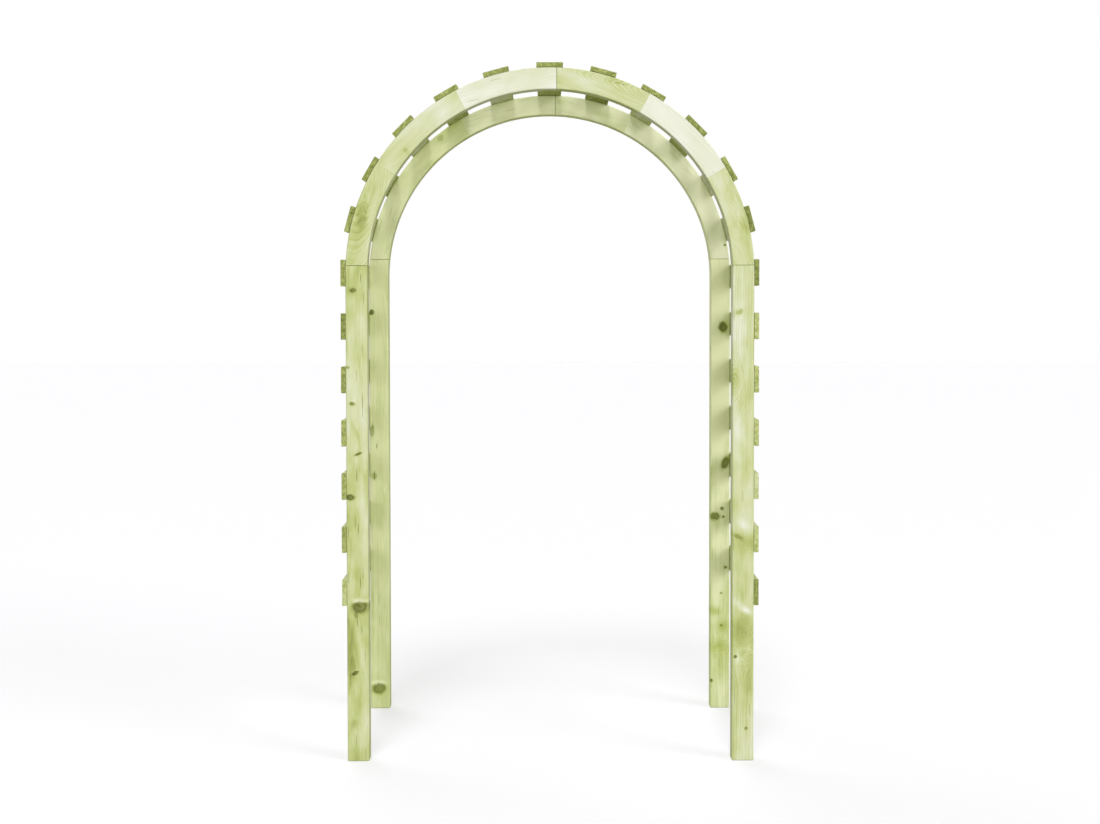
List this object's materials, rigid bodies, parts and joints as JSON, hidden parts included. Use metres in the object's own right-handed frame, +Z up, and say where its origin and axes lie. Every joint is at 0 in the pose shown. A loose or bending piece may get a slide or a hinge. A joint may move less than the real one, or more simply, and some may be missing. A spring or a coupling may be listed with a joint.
{
  "type": "garden arch",
  "caption": "Round-topped wooden garden arch: two half-lapped, finger-jointed frames on posts, tied over the outside by flat slats, open to walk through.",
  "frame": {"origin": "on the ground, under the middle of the arch", "axes": "+Z up, +X to the right across the passage, +Y through the passage to the rear frame; the front frame's outside face looks along -Y"},
  "size_m": [1.2286, 0.6, 2.0573],
  "materials": {
    "post_timber": "planed pine, pressure-treated to a pale yellow green, unvarnished",
    "arch_timber": "planed pine glued from short boards, pressure-treated to a pale yellow green, unvarnished",
    "slat_timber": "planed pine slat, pressure-treated green, unvarnished",
    "dowel_timber": "turned beech dowel, plain",
    "zinc_plate": "yellow zinc-plated countersunk wood screw"
  },
  "bodies": {
    "root": {"front_left_post": "post_timber", "front_right_post": "post_timber", "rear_left_post": "post_timber", "rear_right_post": "post_timber", "front_left_arch_board_1": "arch_timber", "front_left_arch_board_2": "arch_timber", "front_left_arch_board_3": "arch_timber", "front_right_arch_board_1": "arch_timber", "front_right_arch_board_2": "arch_timber", "front_right_arch_board_3": "arch_timber", "rear_left_arch_board_1": "arch_timber", "rear_left_arch_board_2": "arch_timber", "rear_left_arch_board_3": "arch_timber", "rear_right_arch_board_1": "arch_timber", "rear_right_arch_board_2": "arch_timber", "rear_right_arch_board_3": "arch_timber", "slat_crown": "slat_timber", "slat_left_1": "slat_timber", "slat_left_2": "slat_timber", "slat_left_3": "slat_timber", "slat_left_4": "slat_timber", "slat_left_5": "slat_timber", "slat_left_6": "slat_timber", "slat_left_7": "slat_timber", "slat_left_8": "slat_timber", "slat_left_9": "slat_timber", "slat_left_10": "slat_timber", "slat_left_11": "slat_timber", "slat_left_12": "slat_timber", "slat_right_1": "slat_timber", "slat_right_2": "slat_timber", "slat_right_3": "slat_timber", "slat_right_4": "slat_timber", "slat_right_5": "slat_timber", "slat_right_6": "slat_timber", "slat_right_7": "slat_timber", "slat_right_8": "slat_timber", "slat_right_9": "slat_timber", "slat_right_10": "slat_timber", "slat_right_11": "slat_timber", "slat_right_12": "slat_timber", "front_left_lap_dowel_1": "dowel_timber", "front_left_lap_dowel_2": "dowel_timber", "front_right_lap_dowel_1": "dowel_timber", "front_right_lap_dowel_2": "dowel_timber", "rear_left_lap_dowel_1": "dowel_timber", "rear_left_lap_dowel_2": "dowel_timber", "rear_right_lap_dowel_1": "dowel_timber", "rear_right_lap_dowel_2": "dowel_timber", "front_left_crown_screw": "zinc_plate", "front_right_crown_screw": "zinc_plate", "rear_left_crown_screw": "zinc_plate", "rear_right_crown_screw": "zinc_plate"}
  },
  "joints": []
}
